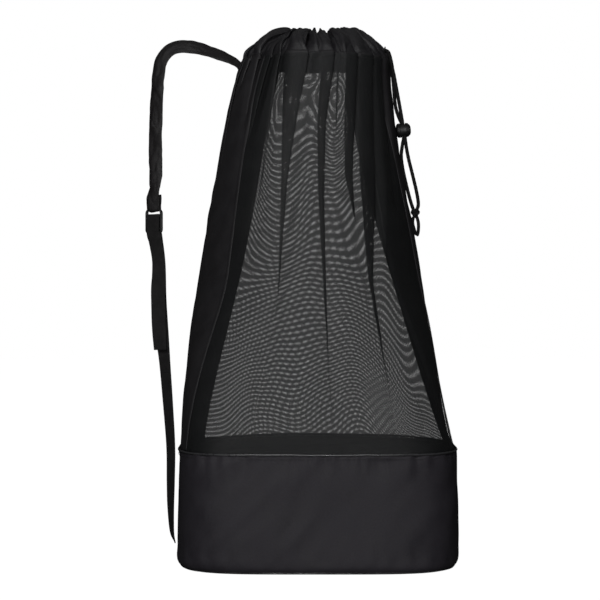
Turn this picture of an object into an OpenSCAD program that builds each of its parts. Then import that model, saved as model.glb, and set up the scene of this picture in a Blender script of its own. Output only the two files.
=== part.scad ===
// Mesh ball bag: a round-bottomed drum with a mesh body, a drawcord mouth and a shoulder strap.
// Millimetres, +Z up. The origin is the centre of the drum's flat bottom.
// The front faces -Y, the shoulder strap is at -X and the drawcord is at +X.

/* [Drum] */
// Half width of the drum
drum_r = 225; // [215:1:235]
// Height of the rim seam above the bottom
rim_z = 183; // [175:1:195]
// Radius of the rounded bottom corner
corner_r = 22; // [18:1:26]
// Squareness of the drum's flattened front, 2 for a plain circle
front_square = 4.6; // [2:0.1:5]

/* [Body] */
// Half width of the mesh body just above the rim
body_foot_r = 219; // [212:1:224]
// Radius of the gathered body at the casing's stitch line
collar_r = 122; // [116:1:130]
// Height of the casing's stitch line
collar_z = 811; // [780:1:840]
// Sideways lean of the slack body
lean = 13; // [0:1:15]
// Thickness of a fabric layer
cloth_t = 1.6; // [1.2:0.1:2.4]
// Width of the seam tapes
tape_w = 14; // [10:1:18]

/* [Casing] */
// Radius of the closed mouth
mouth_r = 46; // [40:1:56]
// Height of the gathered crest
crest_z = 858; // [850:1:864]

/* [Drawcord] */
// Diameter of the cord
cord_d = 6; // [5:0.5:6]
// Radius of the cord's ring inside the casing
cord_ring_r = 92; // [88:1:94]
// Button travel of the cord lock
press = 3.5; // [2:0.5:3.5]

/* [Strap] */
// Width of the webbing
web_w = 25; // [20:1:25]
// Thickness of the webbing
web_t = 1.8; // [1.2:0.1:2.2]

/* [Hidden] */
$fn = 96;

eps = 0.01;
gap = 0.4;              // clearance kept between separate pieces
ring_cols = 72;         // facets round a full ring
body_rows = 12;         // facets up a body panel
body_h = collar_z - rim_z;
flat_end = 0.45;        // share of the body height over which the flattened front rounds out
panel_foot = rim_z + 5;
panel_head = collar_z - 3;
wall_bulge = 8;

function mix(a, b, t) = a + (b - a) * t;
function clamp01(t) = min(1, max(0, t));
function ease(t) = let(c = clamp01(t)) c * c * (3 - 2 * c);
function body_t(z) = (z - rim_z) / body_h;

// Outline in plan: a circle at the back, squarer at the front by the exponent n.
// The angle a runs from the front, 0, through +X at 90.
function plan_k(a, n) =
    let(e = cos(a) > 0 ? n : 2)
    pow(pow(abs(sin(a)), e) + pow(abs(cos(a)), e), -1 / e);
function squareness(z) = mix(front_square, 2, ease(body_t(z) / flat_end));
function body_r(z) =
    let(t = clamp01(body_t(z)))
    mix(body_foot_r, collar_r, t) + wall_bulge * sin(180 * t) * (1 - t);
function body_cx(z) = -lean * (1 - pow(2 * clamp01(body_t(z)) - 1, 4));
function on_body(z, a, off) =
    let(r = body_r(z) * plan_k(a, squareness(z)) + off)
    [body_cx(z) + r * sin(a), -r * cos(a), z];
function on_drum(r, z, a) =
    let(k = r * plan_k(a, front_square))
    [k * sin(a), -k * cos(a), z];

// Angles of the four body seams at height z
function seam_fl(z) = let(t = body_t(z)) -46 - 6 * pow(1 - t, 6);
function seam_fr(z) = 84 - 24 * body_t(z);
function seam_bl(z) = let(t = body_t(z)) 241 - 28 * (1 - pow(1 - t, 2));
function seam_br(z) = let(t = body_t(z)) 104.5 + 47 * (1 - pow(1 - t, 1.3));

// Closed slab between two equal grids of points, each a list of rows
module slab(outer, inner, wrap = false) {
    rows = len(outer);
    cols = len(outer[0]);
    total = rows * cols;
    last = wrap ? cols - 1 : cols - 2;
    points = concat([for (row = outer, p = row) p], [for (row = inner, p = row) p]);
    function id(layer, i, j) = layer * total + i * cols + (j % cols);
    skin = [for (i = [0:rows - 2], j = [0:last])
        [id(0, i, j), id(0, i + 1, j), id(0, i + 1, j + 1), id(0, i, j + 1)]];
    lining = [for (i = [0:rows - 2], j = [0:last])
        [id(1, i, j), id(1, i, j + 1), id(1, i + 1, j + 1), id(1, i + 1, j)]];
    foot = [for (j = [0:last]) [id(0, 0, j), id(0, 0, j + 1), id(1, 0, j + 1), id(1, 0, j)]];
    head = [for (j = [0:last])
        [id(0, rows - 1, j), id(1, rows - 1, j), id(1, rows - 1, j + 1), id(0, rows - 1, j + 1)]];
    start = wrap ? [] : [for (i = [0:rows - 2])
        [id(0, i, 0), id(1, i, 0), id(1, i + 1, 0), id(0, i + 1, 0)]];
    end = wrap ? [] : [for (i = [0:rows - 2])
        [id(0, i, cols - 1), id(0, i + 1, cols - 1), id(1, i + 1, cols - 1), id(1, i, cols - 1)]];
    polyhedron(points = points, faces = concat(skin, lining, foot, head, start, end),
               convexity = 8);
}

function row_z(i) = mix(panel_foot, panel_head, i / body_rows);
function tape_half(z) = tape_w / 2 / body_r(z) * 180 / PI;
function seam_gap(z) = gap / body_r(z) * 180 / PI;

// Seam angle number s at height z: the front panel lies between 0 and 1, the right side
// between 1 and 2, the back between 2 and 3 and the left side between 3 and 4.
function seam(s, z) =
    s == 0 ? seam_fl(z) :
    s == 1 ? seam_fr(z) :
    s == 2 ? seam_br(z) :
    s == 3 ? seam_bl(z) : seam_fl(z) + 360;
function panel_grid(s, cols, off) = [for (i = [0:body_rows]) let(z = row_z(i))
    [for (j = [0:cols])
        on_body(z, mix(seam(s, z) + seam_gap(z), seam(s + 1, z) - seam_gap(z), j / cols), off)]];
module body_panel(s, cols) {
    slab(panel_grid(s, cols, 0), panel_grid(s, cols, -cloth_t));
}

function tape_grid(s, off) = [for (i = [0:body_rows]) let(z = row_z(i))
    [for (j = [-1:1]) on_body(z, seam(s, z) + j * tape_half(z), off)]];
tape_in = 0.9;
tape_out = 2.1;
module seam_tape(s) {
    slab(tape_grid(s, tape_out), tape_grid(s, tape_in));
}

// Smooth curve through a route's points, with steps rings to a span
function hermite(p0, p1, p2, p3, t) =
    0.5 * (2 * p1 + (p2 - p0) * t + (2 * p0 - 5 * p1 + 4 * p2 - p3) * t * t
           + (3 * p1 - 3 * p2 + p3 - p0) * t * t * t);
function smooth(route, steps) =
    let(n = len(route))
    concat([for (i = [0:n - 2], k = [0:steps - 1])
        hermite(route[max(i - 1, 0)], route[i], route[i + 1], route[min(i + 2, n - 1)], k / steps)],
        [route[n - 1]]);
function unit(v) = v / norm(v);
function tangent(path, i) = unit(path[min(i + 1, len(path) - 1)] - path[max(i - 1, 0)]);

// Tube of diameter d along a route that stays near a vertical plane
module cord_tube(route, d, steps, sides) {
    path = smooth(route, steps);
    n = len(path);
    points = [for (i = [0:n - 1])
        let(t = tangent(path, i), u = unit(cross(t, [0, 1, 0])), v = cross(t, u))
        for (k = [0:sides - 1])
            path[i] + d / 2 * (cos(360 * k / sides) * u + sin(360 * k / sides) * v)];
    walls = [for (i = [0:n - 2], k = [0:sides - 1])
        let(m = (k + 1) % sides)
        [i * sides + k, (i + 1) * sides + k, (i + 1) * sides + m, i * sides + m]];
    polyhedron(points = points,
               faces = concat(walls, [[for (k = [0:sides - 1]) k]],
                              [[for (k = [sides - 1:-1:0]) (n - 1) * sides + k]]),
               convexity = 6);
}

// Ribbon along stations of [x, z, twist, y]: twist 0 faces the front and 90 is edge-on to it
module ribbon(stations, w, t, steps = 3) {
    path = smooth([for (s = stations) [s[0], s[3], s[1]]], steps);
    turns = smooth([for (s = stations) [s[2], 0, 0]], steps);
    function wide(i) = let(g = tangent(path, i), side = unit(cross([0, 1, 0], g)), a = turns[i][0])
        cos(a) * side + sin(a) * [0, 1, 0];
    function thin(i) = cross(tangent(path, i), wide(i));
    n = len(path);
    slab([for (i = [0:n - 1]) [for (j = [-1:1]) path[i] + j * w / 2 * wide(i) + t / 2 * thin(i)]],
         [for (i = [0:n - 1]) [for (j = [-1:1]) path[i] + j * w / 2 * wide(i) - t / 2 * thin(i)]]);
}

// ---- Drum ----
base_r = drum_r - corner_r;
base_t = 1.6;
stiffener_t = 3;
stiffener_inset = 6;
piping_r = 2.4;
function drum_ring(r, z) = [for (j = [0:ring_cols - 1]) on_drum(r, z, 360 * j / ring_cols)];
module base_disc(r, t) {
    linear_extrude(t) polygon([for (j = [0:ring_cols - 1]) let(p = on_drum(r, 0, 360 * j / ring_cols))
        [p[0], p[1]]]);
}
module base_panel() {
    color("#1d1c20") base_disc(base_r - gap, base_t);
}
module base_stiffener() {
    color("#2c2c2f") translate([0, 0, base_t]) base_disc(base_r - stiffener_inset, stiffener_t);
}

// Wall profile rows of [outer radius, z, inner radius, inner z], round the bottom corner and up
corner_steps = 4;
wall_lean = drum_r - body_foot_r - 4;
function corner_row(a) = [base_r + corner_r * sin(a), corner_r - corner_r * cos(a),
                          base_r + (corner_r - cloth_t) * sin(a),
                          corner_r - (corner_r - cloth_t) * cos(a)];
function upright_row(z) =
    let(r = drum_r - wall_lean * pow((z - corner_r) / (rim_z - corner_r), 2))
    [r, z, r - cloth_t, z];
wall_rows = concat([for (i = [0:corner_steps]) corner_row(90 * i / corner_steps)],
                   [for (i = [1:3]) upright_row(mix(corner_r, rim_z - 3, i / 3))]);
module drum_wall() {
    color("#1f1e22") slab([for (w = wall_rows) drum_ring(w[0], w[1])],
                          [for (w = wall_rows) drum_ring(w[2], w[3])], wrap = true);
}
// Ring of round section that follows the drum's outline
module piping(r, z, radius) {
    sides = 8;
    rows = [for (j = [0:ring_cols - 1]) [for (k = [0:sides - 1])
        on_drum(r + radius * cos(360 * k / sides), z + radius * sin(360 * k / sides),
                360 * j / ring_cols)]];
    faces = [for (j = [0:ring_cols - 1], k = [0:sides - 1])
        let(m = (j + 1) % ring_cols, l = (k + 1) % sides)
        [j * sides + k, j * sides + l, m * sides + l, m * sides + k]];
    polyhedron(points = [for (row = rows, p = row) p], faces = faces, convexity = 8);
}
rim_pipe_z = rim_z + 1;
rim_pipe_r = upright_row(rim_z)[0] + 0.6;
module rim_piping() {
    color("#34343a") piping(rim_pipe_r, rim_pipe_z, piping_r);
}
bottom_pipe_a = 38;     // place of the bottom seam round the rounded corner
bottom_pipe_thin = 0.6; // how much thinner it is than the rim's piping
module bottom_piping() {
    seat = corner_r + piping_r + gap;
    color("#2a2a2e") piping(base_r + seat * sin(bottom_pipe_a),
                            corner_r - seat * cos(bottom_pipe_a) + 2 * bottom_pipe_thin,
                            piping_r - bottom_pipe_thin);
}
hem_w = 15.5;
hem_t = 1.2;
hem_top = rim_z - 3.5;
module rim_hem_tape() {
    r = rim_pipe_r - piping_r - 2.6;
    color("#252529") slab([for (z = [hem_top - hem_w, hem_top]) drum_ring(r, z)],
                          [for (z = [hem_top - hem_w, hem_top]) drum_ring(r - hem_t, z)],
                          wrap = true);
}
side_seam_a = 168;      // place of the drum's own vertical seam, at the back
side_seam_half = 1.8;   // half its width, in degrees
module drum_side_seam() {
    zs = [for (i = [0:3]) mix(corner_r + 4, rim_z - 6, i / 3)];
    angles = [for (j = [-1:1]) side_seam_a + side_seam_half * j];
    function strip(off) = [for (z = zs) [for (a = angles) on_drum(upright_row(z)[0] + off, z, a)]];
    color("#26262a") slab(strip(tape_out), strip(tape_in));
}

// ---- Body panels and seam tapes ----
module front_mesh() {
    color("#3b3d3c") body_panel(0, 22);
}
module right_side_panel() {
    color("#1c1b1f") body_panel(1, 12);
}
module back_mesh() {
    color("#3b3d3c") body_panel(2, 16);
}
module left_side_panel() {
    color("#1c1b1f") body_panel(3, 14);
}
module front_left_tape() {
    color("#242328") seam_tape(0);
}
module front_right_tape() {
    color("#242328") seam_tape(1);
}
module back_right_tape() {
    color("#242328") seam_tape(2);
}
module back_left_tape() {
    color("#242328") seam_tape(3);
}

// ---- Casing: a folded hem, gathered into a domed ring, hollow for the cord ----
casing_foot = collar_z + 2;
foot_w = 14;            // width of the hem's foot
channel_r = 10;         // outer round of the cord's channel
fold_r = 11;            // round of the folded edge
fold_z = crest_z - fold_r;
crown_r = mouth_r + fold_r + 16;
lip_drop = 4;           // how far the mouth's edge lies below the crown
eyelet_z = casing_foot + 16;
module casing_section(inset) {
    hull() {
        translate([collar_r - foot_w + inset, casing_foot + inset])
            square([foot_w - 2 * inset, 1]);
        translate([collar_r - foot_w + 2, eyelet_z]) circle(r = channel_r - inset, $fn = 48);
        translate([crown_r, fold_z]) circle(r = fold_r - inset, $fn = 48);
    }
    hull() {
        translate([crown_r, fold_z]) circle(r = fold_r - inset, $fn = 48);
        translate([mouth_r + fold_r, fold_z - lip_drop]) circle(r = fold_r - inset, $fn = 48);
    }
}
eyelet_y = 6;
eyelet_hole = cord_d + 1.6;
eyelet_wall = 1;
eyelet_l = 5;
exit_x = 118;
module casing() {
    color("#1b1a1e") difference() {
        rotate_extrude() difference() {
            casing_section(0);
            casing_section(cloth_t);
        }
        for (side = [-1, 1])
            translate([exit_x - foot_w, side * eyelet_y, eyelet_z]) rotate([0, 90, 0])
                cylinder(d = eyelet_hole + 2 * (eyelet_wall + gap / 2), h = 2 * foot_w);
    }
}
binding = [4.4, 4];      // width and height of the binding's section
module casing_binding() {
    color("#26252a") rotate_extrude()
        translate([collar_r - 3, casing_foot - binding[1] - gap]) square(binding);
}

// ---- Drawcord ----
module drawcord_ring() {
    color("#2b2b2e") rotate_extrude() translate([cord_ring_r, eyelet_z]) circle(d = cord_d, $fn = 24);
}
module cord_eyelets() {
    color("#3a3a3d") for (side = [-1, 1])
        translate([exit_x - 2, side * eyelet_y, eyelet_z]) rotate([0, 90, 0]) difference() {
            cylinder(d = eyelet_hole + 2 * eyelet_wall, h = eyelet_l, $fn = 32);
            translate([0, 0, -1]) cylinder(d = eyelet_hole, h = eyelet_l + 2, $fn = 32);
        }
}
front_route = [[95, -6, 829], [106, -6, 829], [121, -6, 829], [127, -5.4, 824], [131, -4, 812],
               [133, -3.6, 796], [134, -3.6, 785], [139, -3.6, 733], [143, -3.6, 692],
               [148, -3.6, 640], [154, -4, 618], [160, -4, 598], [165, -4, 580], [162, -3.4, 566]];
rear_route = [[95, 6, 829], [106, 6, 829], [121, 6, 829], [127, 5.4, 824], [131, 4, 812],
              [133, 3.6, 796], [134, 3.6, 785], [139, 3.6, 733], [143, 3.6, 692],
              [148, 3.6, 640], [150, 5, 620], [152, 6, 602], [155, 4, 584], [160, 3.4, 566]];
knot_at = [161, 0, 562];
knot_d = 16;
end_routes = [[[164, -2, 556], [167, -4, 546], [167, -4, 534], [165, -3, 524]],
              [[158, 2, 556], [157, 4, 546], [160, 4, 534], [163, 4, 526]]];
module drawcord_front_tail() {
    color("#2b2b2e") cord_tube(front_route, cord_d, 2, 8);
}
module drawcord_rear_tail() {
    color("#2b2b2e") cord_tube(rear_route, cord_d, 2, 8);
}
module drawcord_knot() {
    color("#2b2b2e") translate(knot_at) sphere(d = knot_d, $fn = 32);
}
module drawcord_ends() {
    color("#2b2b2e") for (route = end_routes) cord_tube(route, cord_d - 0.5, 2, 8);
}

// ---- Cord lock, in its own frame: x out of the button, z up along the cords ----
lock_at = [142.4, 0, 698];
lock_lean = -5.5;
barrel_r = 11.5;
barrel_back = -10.2;
barrel_front = 4;
bore_r = 9.7;
button_r = 9.4;
slot_y = 6.9;
slot_back = -3.5;
back_wall = 1.2;
button_back = slot_back - back_wall;
button_face = slot_back + cord_d + 1 + press + 1.4;
dome_h = 2.6;
dome_edge = 4;          // how far the button's domed face draws in
slot_l = 40;            // length of the cutters for the cords' slots
spring_r = 6;
spring_wall = 1.2;
module in_lock() {
    translate(lock_at) rotate([0, lock_lean, 0]) children();
}
module lock_rod(r, from, to) {
    translate([from, 0, 0]) rotate([0, 90, 0]) cylinder(r = r, h = to - from);
}
module lock_barrel() {
    color("#17171a") in_lock() difference() {
        lock_rod(barrel_r, barrel_back, barrel_front);
        lock_rod(bore_r, barrel_back + back_wall, barrel_front + 1);
        translate([slot_back, -slot_y, -slot_l / 2]) cube([cord_d + 1, 2 * slot_y, slot_l]);
    }
}
module lock_button() {
    color("#1c1c20") in_lock() difference() {
        union() {
            lock_rod(button_r, button_back, button_face);
            translate([button_face, 0, 0]) rotate([0, 90, 0])
                cylinder(r1 = button_r, r2 = button_r - dome_edge, h = dome_h);
        }
        translate([slot_back, -slot_y, -slot_l / 2])
            cube([cord_d + 1 + press, 2 * slot_y, slot_l]);
    }
}
module lock_spring() {
    length = button_back - barrel_back - back_wall;
    color("#8c8d90") in_lock() translate([barrel_back + back_wall + gap / 4, 0, 0])
        rotate([0, 90, 0]) difference() {
            cylinder(r = spring_r, h = length - gap / 2, $fn = 32);
            translate([0, 0, -1]) cylinder(r = spring_r - spring_wall, h = length + 2, $fn = 32);
        }
}

// ---- Shoulder strap: stations are [x, z, twist, y] ----
tab_top = [[-126.5, 802, 88, 0], [-127.5, 807, 85, 0], [-131, 812, 80, 0]];
upper_route = [[-138, 818, 74, 0], [-152, 825, 62, 0], [-176, 834, 50, 0], [-206, 837, 42, 0],
               [-234, 833, 38, 0], [-251, 817, 40, 0], [-258, 795, 42, 0], [-262, 748, 40, 0],
               [-264, 690, 36, 0], [-265, 640, 33, 0], [-265, 602, 32, 0]];
lower_route = [[-262.5, 522, 34, 0], [-261, 480, 26, 0], [-259, 420, 10, 0], [-254, 360, 26, 0],
               [-250, 320, 44, 0], [-245, 256, 52, 0], [-240, 180, 60, 0], [-239, 121, 62, 0]];
tab_low = [[-239, 120, 62, 0], [-236, 80, 66, 0], [-233, 40, 74, 0], [-229, 22, 84, 0]];
tail_route = [[-266, 520, 34, -6], [-264, 480, 30, -8], [-264, 430, 16, -8], [-262, 380, 20, -8],
              [-259, 338, 34, -8]];
module strap_top_tab() {
    color("#212025") ribbon(tab_top, web_w, web_t);
}
module upper_strap() {
    color("#212025") ribbon(upper_route, web_w, web_t);
}
module lower_webbing() {
    color("#242428") ribbon(lower_route, web_w, web_t);
}
module strap_bottom_tab() {
    color("#242428") ribbon(tab_low, web_w, web_t);
}
module webbing_tail() {
    color("#242428") ribbon(tail_route, web_w, web_t);
}

// Buckle, in its own frame: x across the webbing, z up, y through its thickness
buckle_at = [-264.5, 0, 552];
buckle_turn = -32;
buckle_w = 31;
buckle_foot = -26;
buckle_t = 4;
bar_d = 3.6;
bar_zs = [16.5, 4.5, -16];
slot_w = 26;
slot_foot = -22;       // the slots lie between this and the top bar
buckle_head = bar_zs[0] + bar_d / 2;
module in_buckle() {
    translate(buckle_at) rotate([0, 0, buckle_turn]) children();
}
buckle_corner = 5;
module ladder_lock() {
    color("#151518") in_buckle() {
        difference() {
            rotate([90, 0, 0]) translate([0, 0, -buckle_t / 2]) linear_extrude(buckle_t) hull()
                for (x = [-1, 1], z = [buckle_foot + buckle_corner, buckle_head - buckle_corner])
                    translate([x * (buckle_w / 2 - buckle_corner), z])
                        circle(r = buckle_corner, $fn = 32);
            translate([-slot_w / 2, -buckle_t, slot_foot])
                cube([slot_w, 2 * buckle_t, buckle_head - slot_foot + 1]);
        }
        for (z = bar_zs)
            translate([-slot_w / 2 - 1, 0, z]) rotate([0, 90, 0])
                cylinder(d = bar_d, h = slot_w + 2, $fn = 32);
    }
}
// The end of the upper strap, folded round the buckle's top bar and sewn to itself
loop_in = bar_d / 2 + 0.35;
loop_leg = 33;
module strap_loop() {
    color("#212025") in_buckle() translate([-web_w / 2, 0, bar_zs[0]]) rotate([0, 90, 0])
        linear_extrude(web_w) difference() {
            union() {
                circle(r = loop_in + web_t, $fn = 48);
                translate([-loop_leg, -loop_in - web_t])
                    square([loop_leg, 2 * (loop_in + web_t)]);
            }
            circle(r = loop_in, $fn = 48);
            translate([-loop_leg - 1, -loop_in]) square([loop_leg + 1 + eps, 2 * loop_in]);
        }
}
// The webbing where it doubles back over the middle bar, between the two lower slots
wrap_in = bar_d / 2 + 0.2;
wrap_leg = 27.5;
module webbing_wrap() {
    color("#242428") in_buckle() translate([-web_w / 2, 0, bar_zs[1]]) rotate([0, 90, 0])
        linear_extrude(web_w) difference() {
            union() {
                circle(r = wrap_in + web_t, $fn = 48);
                translate([0, -wrap_in - web_t]) square([wrap_leg, 2 * (wrap_in + web_t)]);
            }
            circle(r = wrap_in, $fn = 48);
            translate([-eps, -wrap_in]) square([wrap_leg + 1, 2 * wrap_in]);
        }
}

base_panel();
base_stiffener();
drum_wall();
drum_side_seam();
rim_hem_tape();
bottom_piping();
rim_piping();
front_mesh();
back_mesh();
left_side_panel();
right_side_panel();
front_left_tape();
front_right_tape();
back_left_tape();
back_right_tape();
casing();
casing_binding();
cord_eyelets();
drawcord_ring();
drawcord_front_tail();
drawcord_rear_tail();
drawcord_knot();
drawcord_ends();
lock_barrel();
lock_button();
lock_spring();
strap_top_tab();
strap_bottom_tab();
upper_strap();
strap_loop();
ladder_lock();
webbing_wrap();
lower_webbing();
webbing_tail();
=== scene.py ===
"""Looks of the mesh ball bag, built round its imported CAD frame. Metres, +Z up, front at -Y."""

import math

import bmesh
import bpy
import numpy as np
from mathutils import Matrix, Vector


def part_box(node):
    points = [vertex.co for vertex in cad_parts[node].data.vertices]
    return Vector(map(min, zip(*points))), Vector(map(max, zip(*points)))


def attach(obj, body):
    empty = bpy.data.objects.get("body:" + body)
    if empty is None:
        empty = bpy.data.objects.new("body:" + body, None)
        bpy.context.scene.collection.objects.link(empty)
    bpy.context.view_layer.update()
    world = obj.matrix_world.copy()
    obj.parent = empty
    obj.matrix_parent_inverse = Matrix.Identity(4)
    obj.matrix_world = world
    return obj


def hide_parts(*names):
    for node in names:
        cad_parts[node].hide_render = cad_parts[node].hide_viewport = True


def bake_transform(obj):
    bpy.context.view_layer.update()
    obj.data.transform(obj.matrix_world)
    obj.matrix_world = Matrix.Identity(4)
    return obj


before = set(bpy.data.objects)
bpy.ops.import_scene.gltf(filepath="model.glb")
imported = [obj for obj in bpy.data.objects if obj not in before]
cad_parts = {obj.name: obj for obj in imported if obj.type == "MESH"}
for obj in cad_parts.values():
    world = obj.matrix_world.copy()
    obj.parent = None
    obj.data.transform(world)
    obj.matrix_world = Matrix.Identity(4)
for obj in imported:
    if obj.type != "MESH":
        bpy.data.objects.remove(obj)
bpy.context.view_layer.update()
MM = 0.001


def box(node):
    """Lowest and highest corner of a CAD node, as arrays."""
    low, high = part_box(node)
    return np.array(low), np.array(high)


# ---- Driving sizes, from the frame ----
DRUM_R = box("drum_wall")[1][0]
RIM_Z = box("drum_wall")[1][2] + 3 * MM
COLLAR_Z = box("front_mesh")[1][2] + 3 * MM
COLLAR_R = box("casing")[1][0]
BODY_FOOT_R = DRUM_R - 6 * MM
LEAN = 11.5 * MM
BULGE = 8 * MM
CORNER_R = 22 * MM
FRONT_SQUARE = 4.6
FLAT_END = 0.45
CLOTH = 0.9 * MM
CORD_D = 6 * MM
WEB_W = 25 * MM
WEB_T = 1.8 * MM


# ---- Camera ----
SENSOR, LENS = 36, 115.8  # in mm
FRAME_SHIFT = -0.0167
CAMERA_AT = (-0.028, -3.165, 0.436)


def make_camera():
    """Level camera in front of the bag, a little to its left, at half its height."""
    data = bpy.data.cameras.new("camera")
    data.sensor_width = SENSOR
    data.lens = LENS
    data.shift_y = FRAME_SHIFT
    camera = bpy.data.objects.new("camera", data)
    camera.location = CAMERA_AT
    camera.rotation_euler = (math.pi / 2, 0, 0)
    bpy.context.scene.collection.objects.link(camera)
    bpy.context.scene.camera = camera


make_camera()


# ---- Small maths ----
def mix(a, b, t):
    return a + (b - a) * t


def ease(t):
    c = np.clip(t, 0, 1)
    return c * c * (3 - 2 * c)


def unit(v):
    return v / np.maximum(np.linalg.norm(v, axis=-1, keepdims=True), 1e-12)


def gradient_noise(x, y, seed):
    """Smooth two-way noise of about -1 to 1, the same on every run."""
    rng = np.random.default_rng(seed)
    angles = rng.uniform(0, 2 * math.pi, 4096)
    gx, gy = np.cos(angles), np.sin(angles)
    x0, y0 = np.floor(x).astype(int), np.floor(y).astype(int)
    fx, fy = x - x0, y - y0

    def corner(i, j):
        k = ((x0 + i) * 73 + (y0 + j) * 1181 + seed * 17) % 4096
        return gx[k] * (fx - i) + gy[k] * (fy - j)

    u, v = fx * fx * fx * (fx * (fx * 6 - 15) + 10), fy * fy * fy * (fy * (fy * 6 - 15) + 10)
    low = mix(corner(0, 0), corner(1, 0), u)
    high = mix(corner(0, 1), corner(1, 1), u)
    return mix(low, high, v) * 1.5


def ridge(x, y, seed):
    """Thin raised creases, 0 to 1."""
    return np.clip(1 - 2.6 * np.abs(gradient_noise(x, y, seed)), 0, 1) ** 2


def arc(path):
    """Length along a path, from 0 at its first point."""
    return np.concatenate([[0], np.cumsum(np.linalg.norm(np.diff(path, axis=0), axis=1))])


def spline(points, count):
    """Catmull-Rom curve through the points, resampled to count even steps of length."""
    p = np.array(points, float)
    p = np.vstack([2 * p[0] - p[1], p, 2 * p[-1] - p[-2]])
    fine = []
    for i in range(1, len(p) - 2):
        t = np.linspace(0, 1, 24, endpoint=False)[:, None]
        fine.append(0.5 * (2 * p[i] + (p[i + 1] - p[i - 1]) * t
                           + (2 * p[i - 1] - 5 * p[i] + 4 * p[i + 1] - p[i + 2]) * t ** 2
                           + (3 * p[i] - 3 * p[i + 1] + p[i + 2] - p[i - 1]) * t ** 3))
    fine = np.vstack(fine + [p[-2:-1]])
    length = arc(fine[:, :3])
    at = np.linspace(0, length[-1], count)
    return np.stack([np.interp(at, length, fine[:, k]) for k in range(p.shape[1])], axis=1)


def polar(r, degrees, z):
    """Points at radius r and height z, at an angle from the front towards +X."""
    turn = np.radians(degrees)
    return np.stack([r * np.sin(turn), -r * np.cos(turn), np.broadcast_to(z, r.shape)], -1)


def path_length(path):
    return float(np.linalg.norm(np.diff(path, axis=0), axis=1).sum())


# ---- Mesh building ----
def mesh_object(name, verts, faces, uvs, material):
    """Object from vertices, faces and, for each face's corners in turn, texture coordinates."""
    mesh = bpy.data.meshes.new(name)
    mesh.from_pydata([tuple(v) for v in verts], [], [tuple(f) for f in faces])
    mesh.uv_layers.new(name="UVMap").data.foreach_set("uv", np.asarray(uvs, float).ravel())
    mesh.polygons.foreach_set("use_smooth", [True] * len(mesh.polygons))
    mesh.update()
    obj = bpy.data.objects.new(name, mesh)
    bpy.context.scene.collection.objects.link(obj)
    mesh.materials.append(material)
    return obj


def grid_faces(rows, cols, stride, wrap, start=0, flip=False):
    """Faces of a grid, and the (row, column) of each corner."""
    i, j = np.meshgrid(np.arange(rows - 1), np.arange(cols - 1), indexing="ij")
    i, j = i.ravel(), j.ravel()
    corners = [(i, j), (i, j + 1), (i + 1, j + 1), (i + 1, j)]
    if flip:
        corners = corners[::-1]
    ids = np.stack([start + r * stride + (c % stride if wrap else c) for r, c in corners], 1)
    places = np.stack([np.stack([r, c], 1) for r, c in corners], 1)
    return ids, places


def grid_normals(points, wrap):
    if wrap:
        ring = points[:, :-1]
        across = np.roll(ring, -1, 1) - np.roll(ring, 1, 1)
        across = np.concatenate([across, across[:, :1]], 1)
    else:
        across = np.gradient(points, axis=1)
    up = np.gradient(points, axis=0)
    return unit(np.cross(across, up))


def sheet_mesh(name, points, uv, material, wrap=False, thick=0.0):
    """Sheet over a grid of points, rows upwards and columns anticlockwise seen from above.
    With thick it is a closed slab that reaches that far inwards."""
    rows, cols = points.shape[:2]
    stride = cols - 1 if wrap else cols
    outer = points[:, :stride].reshape(-1, 3)
    ids, places = grid_faces(rows, cols, stride, wrap)
    verts, faces = [outer], [ids]
    coords = [uv[places[..., 0], places[..., 1]]]
    if thick:
        inner = (points - grid_normals(points, wrap) * thick)[:, :stride].reshape(-1, 3)
        ids, places = grid_faces(rows, cols, stride, wrap, len(outer), flip=True)
        verts.append(inner)
        faces.append(ids)
        coords.append(uv[places[..., 0], places[..., 1]])
        edges = []
        for row, turn in ((0, 1), (rows - 1, -1)):
            j = np.arange(cols - 1)
            ahead = (j + 1) % stride if wrap else j + 1
            a, b = row * stride + j, row * stride + ahead
            quad = [b, a, a + len(outer), b + len(outer)]
            edges.append((np.stack(quad[::turn], 1), np.full(len(j), row), j))
        if not wrap:
            for col, turn in ((0, -1), (cols - 1, 1)):
                i = np.arange(rows - 1)
                a, b = i * stride + col, (i + 1) * stride + col
                quad = [b, a, a + len(outer), b + len(outer)]
                edges.append((np.stack(quad[::turn], 1), i, np.full(len(i), col)))
        for quads, r, c in edges:
            faces.append(quads)
            coords.append(np.repeat(uv[r, c][:, None], 4, axis=1))
    return mesh_object(name, np.concatenate(verts), np.concatenate(faces),
                       np.concatenate(coords), material)


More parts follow.
